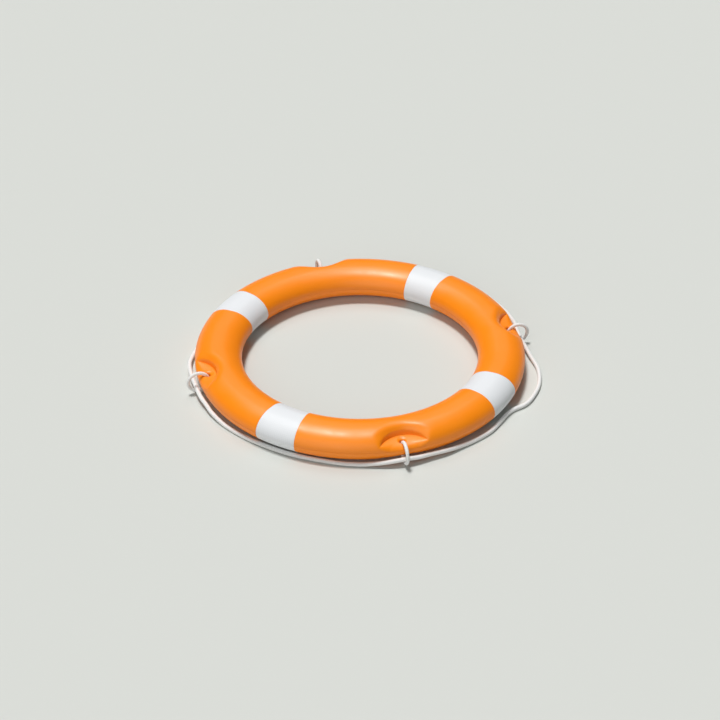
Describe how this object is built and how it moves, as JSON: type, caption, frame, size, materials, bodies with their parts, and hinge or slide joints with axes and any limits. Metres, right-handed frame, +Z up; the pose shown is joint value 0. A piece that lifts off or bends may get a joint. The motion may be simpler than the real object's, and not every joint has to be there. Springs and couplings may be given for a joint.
{
  "type": "life ring",
  "caption": "Ring buoy with a foam-filled plastic shell, reflective bands, and a white grab line held by cord loops in half-moon recesses.",
  "frame": {"origin": "on the floor that the ring lies on, under the ring's centre", "axes": "+Z up, along the ring's axis; +X towards the right band, the one at the picture's lower right; +Y towards the back band"},
  "size_m": [0.782, 0.7873, 0.075],
  "materials": {
    "shell": "satin orange polyethylene",
    "foam": "cream closed-cell foam",
    "tape": "white reflective tape",
    "rope": "white braided rope",
    "becket": "white braided cord",
    "sleeve": "white shrink sleeve",
    "plug": "black plastic"
  },
  "bodies": {
    "root": {"shell_upper": "shell", "shell_lower": "shell", "foam_core": "foam", "tape_right": "tape", "tape_back": "tape", "tape_left": "tape", "tape_front": "tape", "becket_right": "becket", "becket_back": "becket", "becket_left": "becket", "becket_front": "becket", "becket_sleeve_right": "sleeve", "becket_sleeve_back": "sleeve", "becket_sleeve_left": "sleeve", "becket_sleeve_front": "sleeve", "grab_line": "rope", "grab_line_sleeve": "sleeve", "filler_plug": "plug", "vent_plug": "plug"}
  },
  "joints": []
}
